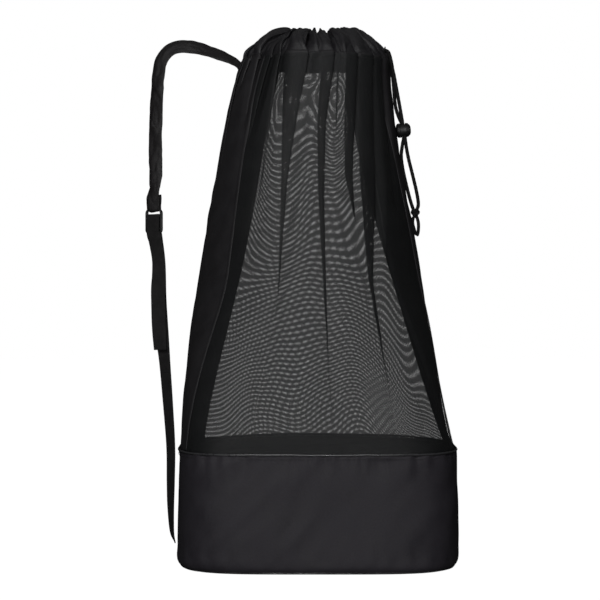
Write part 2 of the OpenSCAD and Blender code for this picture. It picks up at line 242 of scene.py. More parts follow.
def tube_mesh(name, path, radius, material, sides=12, closed=False):
    """Round tube along a path of points. radius may change along it."""
    path = np.asarray(path, float)
    n = len(path)
    if closed:
        tangents = unit(np.roll(path, -1, 0) - np.roll(path, 1, 0))
    else:
        tangents = unit(np.gradient(path, axis=0))
    side = np.zeros((n, 3))
    guess = np.array([0, 1, 0]) if abs(tangents[0][1]) < 0.9 else np.array([0, 0, 1])
    side[0] = unit(guess - tangents[0] * np.dot(guess, tangents[0]))
    for i in range(1, n):
        side[i] = unit(side[i - 1] - tangents[i] * np.dot(side[i - 1], tangents[i]))
    other = np.cross(tangents, side)
    if closed:
        drift = math.atan2(np.dot(np.cross(side[-1], side[0]), tangents[0]),
                           np.dot(side[-1], side[0]))
        turn = np.linspace(0, drift, n)[:, None]
        side, other = (side * np.cos(turn) + other * np.sin(turn),
                       other * np.cos(turn) - side * np.sin(turn))
    radius = np.broadcast_to(np.asarray(radius, float), (n,))
    around = np.linspace(0, 2 * math.pi, sides, endpoint=False)
    rings = (path[:, None] + radius[:, None, None]
             * (np.cos(around)[None, :, None] * side[:, None]
                + np.sin(around)[None, :, None] * other[:, None]))
    steps = n if closed else n - 1
    i, k = np.meshgrid(np.arange(steps), np.arange(sides), indexing="ij")
    i, k = i.ravel(), k.ravel()
    corners = [(i, k), (i, k + 1), (i + 1, k + 1), (i + 1, k)]
    faces = np.stack([r % n * sides + c % sides for r, c in corners], 1)
    along = arc(path)
    along = np.append(along, along[-1] + np.linalg.norm(path[0] - path[-1]))
    girth = 2 * math.pi * float(radius.mean()) / sides
    uvs = np.stack([np.stack([along[r], c * girth], 1) for r, c in corners], 1)
    faces, uvs = [tuple(f) for f in faces], list(uvs.reshape(-1, 2))
    if not closed:
        for ring in (list(range(sides))[::-1], [(n - 1) * sides + q for q in range(sides)]):
            faces.append(tuple(ring))
            uvs += [(0, 0)] * sides
    return mesh_object(name, rings.reshape(-1, 3), faces, np.array(uvs), material)


def stations_frame(stations, count):
    """Path, width direction and width share along stations of the strap."""
    full = [(*s, *(0, 1)[len(s) - 3:]) for s in stations]
    track = spline([(x * MM, y * MM, z * MM, twist, share) for x, z, twist, y, share in full],
                   count)
    path, turn = track[:, :3], np.radians(track[:, 3])[:, None]
    tangents = unit(np.gradient(path, axis=0))
    flat = unit(np.cross(np.array([0, 1, 0]), tangents))
    wide = np.cos(turn) * flat + np.sin(turn) * np.array([0, 1, 0])
    return path, wide, track[:, 4]


def ribbon_mesh(name, path, wide, width, thick, material, waves=0.0, seed=1, puff=0.0, start=0.0):
    """Strap along a path, as a closed slab with rounded edges. width may change along it."""
    count = len(path)
    tangents = unit(np.gradient(path, axis=0))
    wide = unit(wide - tangents * (wide * tangents).sum(1, keepdims=True))
    thin = np.cross(tangents, wide)
    edge = thick / 2
    bend = np.sin(np.linspace(0, math.pi, 5))[1:-1] * edge
    level = np.cos(np.linspace(0, math.pi, 5))[1:-1] * edge
    share = np.linspace(-1, 1, 13)
    half = (np.broadcast_to(np.asarray(width, float), (count,)) / 2 - edge)[:, None]
    across = np.concatenate([half * share, half + bend, half * share[::-1], -half - bend], 1)
    dome = puff * np.cos(share * math.pi / 2) ** 0.7
    depth = np.concatenate([edge + dome, level, -edge - dome[::-1], -level])[None]
    along = arc(path)
    u = across / (WEB_W / 2) * 0.6
    v = along[:, None] / 0.028
    slack = gradient_noise(v, u + 9, seed) + 0.6 * ridge(v * 0.8 + u, u * 1.4 - v * 0.3, seed + 1)
    side = np.sign(depth)
    lift = depth + waves * slack
    lift = lift + puff * 0.5 * side * gradient_noise(v * 1.7, u * 2 + side * 5, seed)
    across = across * (1 + 1.2 * waves / WEB_W * gradient_noise(v * 0.8, u * 0, seed + 4))
    rings = path[:, None] + across[..., None] * wide[:, None] + lift[..., None] * thin[:, None]
    rings = np.concatenate([rings, rings[:, :1]], 1)
    flat = np.concatenate([across, across[:, :1]], 1)
    uv = np.stack([flat, np.broadcast_to(start + along[:, None], flat.shape)], -1)
    obj = sheet_mesh(name, rings[:, ::-1], uv[:, ::-1], material, wrap=True)
    cap_ends(obj)
    return obj


def cap_ends(obj):
    """Closes the open ends of a swept piece."""
    work = bmesh.new()
    work.from_mesh(obj.data)
    rim = [e for e in work.edges if e.is_boundary]
    bmesh.ops.holes_fill(work, edges=rim, sides=0)
    bmesh.ops.recalc_face_normals(work, faces=work.faces)
    work.to_mesh(obj.data)
    work.free()


# ---- Materials ----
class Nodes:
    """Short calls for building one material's nodes."""

    def __init__(self, name):
        self.material = bpy.data.materials.new(name)
        self.material.use_nodes = True
        self.tree = self.material.node_tree
        self.shader = self.tree.nodes["Principled BSDF"]
        self.uv = self.tree.nodes.new("ShaderNodeTexCoord").outputs["UV"]
        self.place = self.tree.nodes.new("ShaderNodeTexCoord").outputs["Object"]

    def link(self, source, socket):
        self.tree.links.new(source, socket)

    def math(self, kind, a, b=0.0, c=0.0):
        node = self.tree.nodes.new("ShaderNodeMath")
        node.operation = kind
        for socket, value in zip(node.inputs, (a, b, c)):
            if isinstance(value, (int, float)):
                socket.default_value = value
            else:
                self.link(value, socket)
        return node.outputs[0]

    def split(self, vector):
        node = self.tree.nodes.new("ShaderNodeSeparateXYZ")
        self.link(vector, node.inputs[0])
        return node.outputs

    def noise(self, vector, scale, detail=3.0, rough=0.5):
        node = self.tree.nodes.new("ShaderNodeTexNoise")
        node.inputs["Scale"].default_value = scale
        node.inputs["Detail"].default_value = detail
        node.inputs["Roughness"].default_value = rough
        self.link(vector, node.inputs["Vector"])
        return node.outputs["Fac"]

    def ramp(self, value, low, high, to_low=0.0, to_high=1.0):
        node = self.tree.nodes.new("ShaderNodeMapRange")
        node.interpolation_type = "SMOOTHSTEP"
        for name, number in (("From Min", low), ("From Max", high),
                             ("To Min", to_low), ("To Max", to_high)):
            node.inputs[name].default_value = number
        self.link(value, node.inputs["Value"])
        return node.outputs[0]

    def colour(self, value, dark, light):
        node = self.tree.nodes.new("ShaderNodeMix")
        node.data_type = "RGBA"
        node.inputs["A"].default_value = (*dark, 1)
        node.inputs["B"].default_value = (*light, 1)
        self.link(value, node.inputs["Factor"])
        self.link(node.outputs["Result"], self.shader.inputs["Base Color"])

    def bump(self, height, distance, strength=1.0):
        node = self.tree.nodes.new("ShaderNodeBump")
        node.inputs["Distance"].default_value = distance
        node.inputs["Strength"].default_value = strength
        self.link(height, node.inputs["Height"])
        self.link(node.outputs[0], self.shader.inputs["Normal"])

    def rough(self, value, low, high, to_low, to_high):
        self.link(self.ramp(value, low, high, to_low, to_high), self.shader.inputs["Roughness"])

    def wave(self, coordinate, pitch):
        """Sine along a coordinate, -1 to 1."""
        return self.math("SINE", self.math("MULTIPLY", coordinate, 2 * math.pi / pitch))

    def plain(self, **values):
        for name, value in values.items():
            self.shader.inputs[name.replace("_", " ")].default_value = value


def woven(name, dark, light, pitch=0.9 * MM, gloss=0.24):
    """Plain-weave polyester: over and under threads, slubs and a faint dusty unevenness, with
    painted shade where the threads dip.
    """
    n = Nodes(name)
    u, v, _ = n.split(n.uv)
    threads = n.math("MULTIPLY", n.wave(u, pitch), n.wave(v, pitch))
    slub = n.noise(n.uv, 900, 2)
    patch = n.noise(n.place, 26, 4, 0.6)
    height = n.math("ADD", n.math("MULTIPLY", threads, 0.5), slub)
    n.bump(height, 0.16 * MM, 0.7)
    heather = n.math("MULTIPLY_ADD", n.noise(n.uv, 380, 2), 0.55, -0.27)
    # Colour: random patches and heather, plus painted shade that darkens the weave where the
    # threads dip and lightens their crowns.
    tone_and_painted_shade = n.math("ADD", n.math("MULTIPLY", patch, 0.7), n.math("MULTIPLY", threads, 0.12))
    tone_and_painted_shade = n.math("ADD", tone_and_painted_shade, heather)
    n.colour(tone_and_painted_shade, dark, light)
    n.rough(patch, 0.3, 0.7, 0.48, 0.62)
    n.plain(Specular_IOR_Level=gloss)
    return n.material


MESH_ROW, MESH_COLUMN = 1.0 * MM, 1.6 * MM
MESH_LEVEL, MESH_SOFT = 0.65, 0.22  # where a hole begins, and how softly
MESH_SOLID = 0.94


def open_mesh(name, dark, light):
    """Knitted mesh: rows of staggered oval holes between glossy strands."""
    n = Nodes(name)
    u, v, _ = n.split(n.uv)
    rows = n.math("COSINE", n.math("MULTIPLY", v, 2 * math.pi / MESH_ROW))
    half = n.math("COSINE", n.math("MULTIPLY", v, math.pi / MESH_ROW))
    columns = n.math("COSINE", n.math("MULTIPLY", u, 2 * math.pi / MESH_COLUMN))
    cell = n.math("MULTIPLY_ADD", n.math("MULTIPLY", columns, half), 0.34,
                  n.math("MULTIPLY", rows, 0.8))
    solid = n.ramp(cell, MESH_LEVEL - MESH_SOFT, MESH_LEVEL + MESH_SOFT, MESH_SOLID, 0.0)
    n.link(solid, n.shader.inputs["Alpha"])
    n.bump(n.ramp(cell, -1.0, MESH_LEVEL, 1.0, 0.0), 0.30 * MM, 0.7)
    n.colour(n.noise(n.place, 30, 3), dark, light)
    n.rough(n.noise(n.uv, 500, 2), 0.3, 0.7, 0.42, 0.62)
    n.plain(Specular_IOR_Level=0.3)
    return n.material


def ribbed(name, dark, light):
    """Webbing: cross ribs with fine warp threads."""
    n = Nodes(name)
    u, v, _ = n.split(n.uv)
    ribs = n.wave(v, 1.3 * MM)
    warp = n.wave(u, 0.8 * MM)
    height = n.math("ADD", ribs, n.math("MULTIPLY", warp, 0.35))
    n.bump(height, 0.35 * MM, 0.7)
    # The colour follows the ribs: painted shade darkens the hollows between them, over random tone.
    tone_and_painted_shade = n.math("ADD", n.math("MULTIPLY", ribs, 0.2), n.noise(n.place, 60, 3))
    n.colour(tone_and_painted_shade, dark, light)
    n.rough(n.noise(n.place, 90, 3), 0.3, 0.7, 0.62, 0.8)
    n.plain(Specular_IOR_Level=0.14)
    return n.material


def braided(name, dark, light):
    """Braided cord: two sets of diagonal strands, with painted shade in the grooves between them.
    """
    n = Nodes(name)
    u, v, _ = n.split(n.uv)
    strand = 2.36 * MM
    one = n.wave(n.math("ADD", u, v), strand)
    two = n.wave(n.math("SUBTRACT", u, v), strand)
    height = n.math("MAXIMUM", one, two)
    n.bump(height, 0.4 * MM, 0.9)
    # The colour follows the strands' height: painted shade darkens the grooves and lightens the
    # crowns.
    n.colour(n.math("MULTIPLY_ADD", height, 0.35, 0.4), dark, light)
    n.rough(height, -1, 1, 0.85, 0.6)
    n.plain(Specular_IOR_Level=0.14)
    return n.material


def moulded(name, dark, light, rough=0.42, grain=0.05 * MM, gloss=0.45):
    """Moulded nylon: fine spark texture, slight flow marks and rubbed patches."""
    n = Nodes(name)
    fine = n.noise(n.place, 2600, 2)
    flow = n.noise(n.place, 120, 3)
    n.bump(fine, grain, 0.6)
    n.colour(flow, dark, light)
    n.rough(flow, 0.35, 0.7, rough - 0.08, rough + 0.12)
    n.plain(Specular_IOR_Level=gloss)
    return n.material


def steel(name):
    """Drawn spring wire with fine marks along it."""
    n = Nodes(name)
    n.bump(n.noise(n.place, 1800, 2), 0.03 * MM, 0.5)
    n.colour(n.noise(n.place, 300, 2), (0.35, 0.35, 0.36), (0.55, 0.55, 0.56))
    n.rough(n.noise(n.place, 700, 2), 0.3, 0.7, 0.25, 0.45)
    n.plain(Metallic=1.0)
    return n.material


def floor_material():
    """White to the eye and nearly black as a reflector, so that it lights nothing from below."""
    n = Nodes("studio_floor")
    n.colour(n.noise(n.place, 0.8, 2), (0.08, 0.08, 0.08), (0.10, 0.10, 0.10))
    n.rough(n.noise(n.place, 4, 2), 0.3, 0.7, 0.75, 0.85)
    n.plain(Specular_IOR_Level=0.0)
    seen = n.tree.nodes.new("ShaderNodeLightPath").outputs["Is Camera Ray"]
    n.shader.inputs["Emission Color"].default_value = (1, 1, 1, 1)
    n.link(seen, n.shader.inputs["Emission Strength"])
    return n.material


DRUM_CLOTH = woven("drum_cloth", (0.0105, 0.0095, 0.0118), (0.026, 0.0238, 0.0285), gloss=0.14)
SIDE_CLOTH = woven("side_cloth", (0.0078, 0.0073, 0.0082), (0.0182, 0.0172, 0.0188))
CASING_CLOTH = woven("casing_cloth", (0.0034, 0.0031, 0.004), (0.01, 0.0092, 0.011), gloss=0.38)
STRAP_CLOTH = woven("strap_cloth", (0.0028, 0.0024, 0.0026), (0.01, 0.0086, 0.0093),
                    pitch=0.8 * MM)
TAPE_CLOTH = woven("tape_cloth", (0.008, 0.0075, 0.0085), (0.015, 0.014, 0.0155), pitch=0.7 * MM)
MESH_CLOTH = open_mesh("mesh_cloth", (0.0052, 0.0054, 0.006), (0.0105, 0.0111, 0.0114))
WEBBING = ribbed("webbing_nylon", (0.006, 0.0058, 0.006), (0.0165, 0.016, 0.0163))
CORD = braided("drawcord_braid", (0.0025, 0.0025, 0.0025), (0.01, 0.0097, 0.0097))
PIPING = moulded("piping_vinyl", (0.016, 0.016, 0.017), (0.03, 0.03, 0.032), rough=0.34)
THREAD = braided("stitch_thread", (0.008, 0.008, 0.008), (0.026, 0.026, 0.026))
NYLON = moulded("moulded_nylon", (0.0025, 0.0025, 0.0027), (0.0062, 0.0062, 0.0064), rough=0.5,
                gloss=0.24)
FOAM = moulded("foam_sheet", (0.03, 0.03, 0.03), (0.05, 0.05, 0.05), rough=0.85, grain=0.2 * MM)
STEEL = steel("spring_wire")


# ---- Finished pieces ----
def settle(obj, body, *nodes, slot=None):
    """Rides the piece on its body, in place of the CAD nodes it stands for."""
    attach(obj, body)
    if nodes:
        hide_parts(*nodes)
    return obj


def join(name, parts):
    """One object from several, keeping each one's material."""
    for o in bpy.context.selected_objects:
        o.select_set(False)
    for o in parts:
        o.select_set(True)
    bpy.context.view_layer.objects.active = parts[0]
    if len(parts) > 1:
        bpy.ops.object.join()
    parts[0].name = parts[0].data.name = name
    parts[0].select_set(False)
    return parts[0]


# ---- Drawcord ----
# Routes of the two tails as the photo shows them, from the eyelets in the casing to the knot, in mm
FRONT_ROUTE = [(109, -6, 829), (116.5, -5.6, 825.5), (121, -4.4, 812), (124, -3.8, 796),
               (126.5, -3.6, 785), (136, -3.6, 733), (143, -3.6, 692), (146.5, -3.6, 668),
               (150, -3.8, 650), (154, -4, 634), (158.4, -4.2, 616), (162.6, -4.2, 598),
               (165.4, -4, 582), (165.4, -3.8, 573), (162, -3.4, 565)]
REAR_ROUTE = [(109, 6, 829), (116, 5.6, 825.5), (119.5, 4.6, 812), (122.4, 4, 796),
              (124.5, 3.8, 783), (126.6, 3.8, 758), (129, 3.7, 736), (134.8, 3.6, 718),
              (140.8, 3.6, 705), (142.8, 3.6, 690), (140, 3.8, 673), (138.2, 4.4, 656),
              (140.6, 4.8, 636), (145, 4.6, 615), (149.6, 4.2, 596), (154.6, 3.8, 578),
              (159.2, 3.4, 565)]
KNOT_AT = np.array([161, 0, 562]) * MM
END_ROUTES = [[(163.4, -2, 556), (165.8, -4, 546), (165.8, -4, 534), (164, -3, 524)],
              [(158, 2, 556), (157, 4, 546), (160, 4, 534), (163, 4, 526)]]


def braid_radius(path, radius):
    """A slightly uneven radius, as a braid has."""
    along = np.linspace(0, path_length(path), len(path))
    return radius * (1 + 0.03 * np.sin(along / (1.2 * MM)))


def make_knot():
    """Overhand knot: a tube along a flattened trefoil."""
    t = np.linspace(0, 2 * math.pi, 120, endpoint=False)
    x = np.sin(t) + 2 * np.sin(2 * t)
    y = np.cos(t) - 2 * np.cos(2 * t)
    z = -np.sin(3 * t)
    path = KNOT_AT + np.stack([x * 1.75, z * 2.7, y * 1.75], 1) * MM
    return tube_mesh("end_knot", path, CORD_D / 2 * 0.92, CORD, sides=14, closed=True)


def make_cord_ends():
    parts = []
    for route in END_ROUTES:
        path = spline(np.array(route) * MM, 24)
        radius = np.full(24, CORD_D / 2 - 0.25 * MM)
        radius[-3:] *= (0.98, 0.86, 0.55)
        parts.append(tube_mesh("cord_end", path, radius, CORD, sides=14))
    return join("cord_ends", parts)


def make_cords():
    """The drawcord's two free tails, each a fixed length that hangs from its eyelet."""
    knot = settle(make_knot(), "bag", "drawcord_knot", slot="cord")
    ends = settle(make_cord_ends(), "bag", "drawcord_ends", slot="cord")
    for name, node, route in (("front_cord", "drawcord_front_tail", FRONT_ROUTE),
                              ("rear_cord", "drawcord_rear_tail", REAR_ROUTE)):
        points = np.array(route) * MM
        path = spline(points, 150)
        obj = tube_mesh(name, path, braid_radius(path, CORD_D / 2 * 0.97), CORD, sides=16)
        settle(obj, "bag", node, slot="cord")


make_cords()


# ---- Shape of the body ----
def plan_k(a, exponent):
    """Outline in plan: round at the back, squarer in front. a is in degrees from the front."""
    s, c = np.abs(np.sin(np.radians(a))), np.abs(np.cos(np.radians(a)))
    e = np.where(np.cos(np.radians(a)) > 0, exponent, 2.0)
    return (s ** e + c ** e) ** (-1 / e)


def squareness(t):
    return mix(FRONT_SQUARE, 2, ease(t / FLAT_END))


def body_r(t):
    c = np.clip(t, 0, 1)
    return mix(BODY_FOOT_R, COLLAR_R, c) + BULGE * np.sin(math.pi * c) * (1 - c)


def body_cx(t):
    return -LEAN * (1 - (2 * np.clip(t, 0, 1) - 1) ** 4)


def seam_angle(s, t):
    """Angle of body seam s at height t, as in the CAD. The seams go front left, front right,
    back right, back left, and front left again."""
    t = np.clip(t, 0, 1)
    front_left = -46 - 6 * (1 - t) ** 6
    return (front_left, 84 - 24 * t, 104.5 + 47 * (1 - (1 - t) ** 1.3),
            241 - 28 * (1 - (1 - t) ** 2), front_left + 360)[s]


# Folds of the cloth, each a list of (t, angle, reach in degrees, pull, depth in mm), where t is the
# height on the body from the rim, 0, to the casing, 1. From a pull of about a third the cloth
# stands on edge, and beyond it the cloth doubles back over itself. These are placed one by one.
FRONT_FOLDS = [
    [(0, -25, 2.4, .3, 1.5), (.11, -23, 2.6, .35, 2.5), (.38, -16, 3, .5, 4),
     (.45, -15.8, 3.4, .7, 5), (.68, -15.6, 6, 1, 7), (.83, -15.2, 9, 1.35, 9),
     (.94, -15.2, 12, 1.5, 10), (1, -15, 12, 1.5, 10)],
    [(0, 8.5, 2.4, .3, 2), (.13, 7.6, 2.6, .45, 3), (.3, 7.3, 3, .6, 4), (.63, 6, 4.2, 1, 6),
     (.83, 6.5, 5, 1.3, 7), (.94, 8.5, 6, 1.5, 9), (1, 8.5, 6, 1.5, 9)],
    [(.7, 15, 2, 0, 0), (.82, 16, 2.4, .6, 3), (.94, 17, 2.6, .9, 4), (1, 17, 2.6, .9, 4)],
    [(.5, 26, 2.4, .1, 0), (.6, 24.5, 3, .7, 4), (.69, 23, 4.2, 1.2, 6), (.83, 26, 5.2, 1.4, 8),
     (.94, 28, 6, 1.4, 9), (1, 28, 6, 1.4, 9)],
    [(0, 31, 2.4, .3, 2), (.1, 31, 2.6, .4, 3), (.23, 30.7, 3, .6, 4), (.43, 31.6, 4, .85, 6),
     (.55, 33.5, 6, 1.1, 8), (.69, 36.4, 7.5, 1.4, 9), (.94, 42, 8.5, 1.45, 10),
     (1, 42.5, 8.5, 1.45, 10)],
    [(0, 43, 2.2, .4, 2.5), (.11, 41.3, 2.4, .5, 3), (.3, 34, 2.2, .3, 2), (.38, 33, 2, .1, 0)],
    [(0, 54, 2.4, .45, 3), (.04, 53.3, 2.4, .5, 3), (.38, 45.3, 2.4, .4, 2.5), (.55, 43, 2, .1, 0)],
    [(.5, -33, 3, .1, 0), (.6, -31, 3, .5, 3), (.71, -29.5, 3.6, .9, 5), (.91, -29, 3.8, 1.1, 7),
     (1, -30.5, 3.6, 1.1, 8)],
    [(.72, -44, 3, .1, 0), (.9, -41, 4.4, 1, 6), (1, -40, 5.5, 1.25, 9)],
    [(.55, 56, 3, .1, 0), (.8, 58, 4.5, .9, 5), (1, 59, 6, 1.2, 9)],
]


def gathered_folds(seed):
    """Folds of the sides and the back: close together at the casing, each dying out lower down."""
    rng = np.random.default_rng(seed)
    folds, angle = [], 71.0
    while angle < 304:
        reach = rng.uniform(4.0, 7.5)
        end = rng.choice([0.86, 0.74, 0.55, 0.2], p=[0.4, 0.3, 0.2, 0.1])
        drift = rng.uniform(-4, 4)
        pull, depth = rng.uniform(0.8, 1.5), rng.uniform(6, 11)
        if 140 < angle < 222:
            pull *= 0.25
        middle = mix(end, 1, 0.5)
        angle += reach
        folds.append([(end, angle + drift, 3.4, 0, 0),
                      (middle, angle + drift * 0.4, mix(3.4, reach, 0.4), pull * 0.35,
                       depth * 0.35),
                      (1, angle, reach, pull, depth)])
        angle += reach + rng.uniform(0.5, 5)
    return folds


FOLDS = FRONT_FOLDS + gathered_folds(seed=7)


def fold_shift(a, t):
    """How the folds move a point: turn in degrees, and depth inwards in metres."""
    turn, sink = np.zeros_like(a), np.zeros_like(a)
    for fold in FOLDS:
        table = np.array(fold)
        at = np.clip(t, table[0, 0], 1)
        centre, reach, pull, depth = (np.interp(at, table[:, 0], table[:, k]) for k in (1, 2, 3, 4))
        fade = ease((t - table[0, 0] - 0.01) / 0.09)
        away = (a - centre + 180) % 360 - 180
        x = away / reach
        near = np.clip(1 - x * x, 0, 1) ** 2
        turn -= pull * reach * fade * np.sin(math.pi * x) * near
        tuck = ease(x + 0.6) * (1 - ease((x - 0.5) / 1.5))
        valley = np.exp(-1.4 * x * x)
        sink += depth * MM * fade * mix(valley, tuck, np.clip(pull * 1.3 - 0.3, 0, 1))
    return turn, sink


def crumple(u, v, seed, size):
    """Slack of loose cloth, in metres: broad swells and slanting soft wrinkles."""
    along, across = u * 0.6 + v * 0.8, v * 0.6 - u * 0.8
    broad = gradient_noise(u / 0.12, v / 0.17, seed)
    slant = gradient_noise(along / 0.10, across / 0.034, seed + 1)
    where = ease(0.5 + gradient_noise(u / 0.15, v / 0.15, seed + 2))
    return size * (broad + 0.55 * slant * where)


RIGHT_PULL = 5.5 * MM  # the cord draws the right side of the neck in
NECK_EASE = 2.5 * MM  # the cloth stands this far out from the CAD's body at the casing
RIM_TUCK = 3 * MM  # and this far in at the rim, behind the piping


def body_points(a, t, out=0.0, rough=0.0, seed=0):
    """Points of the body cloth at angles a and heights t, pushed out by out."""
    z = mix(RIM_Z, COLLAR_Z, t)
    turn, sink = fold_shift(a, t)
    r = body_r(t) * plan_k(a, squareness(t))
    if rough:
        u = np.radians(a) * body_r(t)
        hold = ease(t / 0.05) * ease((1 - t) / 0.04)
        r = r + crumple(u, z, seed, rough) * hold
    right = np.clip(np.sin(np.radians(a)), 0, 1) ** 2 * ease((t - 0.55) / 0.4)
    r = r - sink - RIGHT_PULL * right + NECK_EASE * ease(t) + out - RIM_TUCK * ease(0.5 - t / 0.02)
    points = polar(r, a + turn, z)
    points[..., 0] += body_cx(t)
    return points


def cloth_uv(points):
    """Texture coordinates in metres: length along each row, from its middle, and height."""
    step = np.linalg.norm(np.diff(points, axis=1), axis=-1)
    along = np.concatenate([np.zeros((len(points), 1)), np.cumsum(step, 1)], 1)
    along -= along[:, along.shape[1] // 2][:, None]
    up = arc(points[:, points.shape[1] // 2])
    return np.stack([along, np.broadcast_to(up[:, None], along.shape)], -1)


BODY_ROWS = 190
DRAG = 5 * MM  # how far the rows of the knit wander from level
SIDE_LIFT = 9 * MM  # how far the gathers pull the rows of the other panels up


def panel_places(s, cols):
    """Angles of the points of the panel between seams s and s + 1, and their heights."""
    t = np.linspace(-0.012, 1.0, BODY_ROWS)[:, None]
    a = mix(seam_angle(s, t), seam_angle(s + 1, t), np.linspace(0, 1, cols)[None])
    return a, np.broadcast_to(t, a.shape)


def knit_lift(a, t):
    """How far the gathers pull the rows of the front mesh up, in metres."""
    middle = np.exp(-((a - 3) / 8.0) ** 2) * ease((t - 0.35) / 0.4)
    right = np.exp(-((a - 24) / 9.0) ** 2) * ease((t - 0.30) / 0.4)
    return (2.8 * middle + 1.6 * right) * MM


def make_panel(name, s, cols, node, material, slot, thick, rough, seed):
    """Cloth between seam s and the next, with its knit or weave drawn up by the gathers."""
    a, t = panel_places(s, cols)
    points = body_points(a, t, rough=rough, seed=seed)
    uv = cloth_uv(points)
    uv[..., 1] += DRAG * gradient_noise(uv[..., 0] / 0.11, uv[..., 1] / 0.19, seed)
    uv[..., 1] += knit_lift(a, t) if s == 0 else SIDE_LIFT * ease((t - 0.5) / 0.5)
    obj = sheet_mesh(name, points, uv, material, thick=thick)
    return settle(obj, "bag", node, slot=slot)


def make_body():
    make_panel("front_mesh_cloth", 0, 520, "front_mesh", MESH_CLOTH, "mesh", 0, 0.8 * MM, 3)
    make_panel("right_side_cloth", 1, 220, "right_side_panel", SIDE_CLOTH, "side_fabric",
               CLOTH, 2.4 * MM, 21)
    make_panel("back_mesh_cloth", 2, 300, "back_mesh", MESH_CLOTH, "mesh", 0, 1.0 * MM, 5)
    make_panel("left_side_cloth", 3, 240, "left_side_panel", SIDE_CLOTH, "side_fabric",
               CLOTH, 3.0 * MM, 31)


SEAM_HALF = 3.2 * MM
SEAM_RISE = 0.9 * MM
SEAM_COLS, STITCH_COL = 7, 5
TAPE_T = 0.8 * MM


def seam_strip(s):
    """Grid over a seam: a narrow raised fold along it."""
    t = np.linspace(0.004, 0.998, BODY_ROWS)[:, None]
    reach = np.degrees(SEAM_HALF / body_r(t))
    share = np.linspace(-1, 1, SEAM_COLS)[None]
    a = seam_angle(s, t) + reach * share
    t = np.broadcast_to(t, a.shape)
    crown = np.cos(share * math.pi / 2) ** 0.5
    return body_points(a, t, SEAM_RISE * crown + 0.3 * MM)


def sew(name, points, *nodes, wrap=False, thick=TAPE_T):
    """Strip of binding over a grid of points."""
    strip = sheet_mesh(name, points, cloth_uv(points), TAPE_CLOTH, wrap=wrap, thick=thick)
    settle(strip, "bag", *nodes, slot="tape")


def stitches(name, line, normals, pitch=3.2 * MM, length=2.4 * MM, radius=0.32 * MM):
    """A row of short thread humps along a line."""
    along = arc(line)
    starts = np.arange(pitch / 2, along[-1] - pitch, pitch)
    share = np.linspace(0, 1, 5)
    at = starts[:, None] + share[None] * length
    centre = np.stack([np.interp(at, along, line[:, k]) for k in range(3)], -1)
    lift = np.stack([np.interp(at, along, normals[:, k]) for k in range(3)], -1)
    centre = centre + lift * (np.sin(share * math.pi) * radius * 0.8)[None, :, None]
    tangent = unit(centre[:, -1:] - centre[:, :1])
    side = unit(np.cross(tangent, lift))
    around = np.radians([0, 60, 120, 180, 240, 300])
    width = radius * np.array([0.35, 0.9, 1.0, 0.9, 0.35])
    rings = (centre[:, :, None] + width[None, :, None, None]
             * (np.cos(around)[None, None, :, None] * side[:, :, None]
                + np.sin(around)[None, None, :, None] * lift[:, :, None]))
    n, sides = len(starts), len(around)
    verts = rings.reshape(-1, 3)
    base = np.arange(n)[:, None] * 5 * sides
    quads = [(near + k, near + (k + 1) % sides, near + sides + (k + 1) % sides, near + sides + k)
             for near in range(0, 4 * sides, sides) for k in range(sides)]
    faces = np.concatenate([base + np.array(q) for q in quads])
    caps = [base + np.arange(sides)[::-1], base + 4 * sides + np.arange(sides)]
    faces = [tuple(f) for f in faces] + [tuple(f) for cap in caps for f in cap]
    corners = sum(len(f) for f in faces)
    return mesh_object(name, verts, faces, np.zeros((corners, 2)), THREAD)


SEAM_NODES = ("front_left_tape", "front_right_tape", "back_right_tape", "back_left_tape")


def make_seams():
    for s, node in enumerate(SEAM_NODES):
        points = seam_strip(s)
        sew(node + "_fold", points, node)
        normals = grid_normals(points, False)
        row = stitches(node + "_stitches", points[:, STITCH_COL], normals[:, STITCH_COL])
        settle(row, "bag", slot="tape")


make_body()
make_seams()

# ---- Casing ----
# Section of the folded hem, (radius, height) in mm: up the outside, over the crest, down inside
CASING_SECTION = [(122.8, 805), (122.2, 811), (120, 818), (115.5, 827), (106.5, 837), (93, 845.5),
                  (78, 851.5), (65, 853.5), (54, 851), (46.5, 844), (49, 836), (61, 831),
                  (79, 826), (96, 817), (106, 810)]
SECTION_STEPS = 90
CASING_COLS = 900
EDGE_ROWS = 6  # rows of the section that the turned edge covers
CASING_T = 0.8 * MM
BIG_GATHERS, SMALL_GATHERS = 22, 46
LUMP, CREASE, FOOT_WANDER = 3.4 * MM, 4.5 * MM, 3 * MM
RIGHT_TUCK, LEFT_TUCK = 4 * MM, 5 * MM  # the cord and the strap squeeze the sides


def pillows(turns, count, seed):
    """Rounded swells with sharp creases between them, 0 to 1."""
    wander = 1.8 * np.sin(3 * turns + seed) + 1.2 * np.sin(8 * turns + 2 * seed)
    return np.abs(np.sin(turns * count / 2 + wander)) ** 0.65


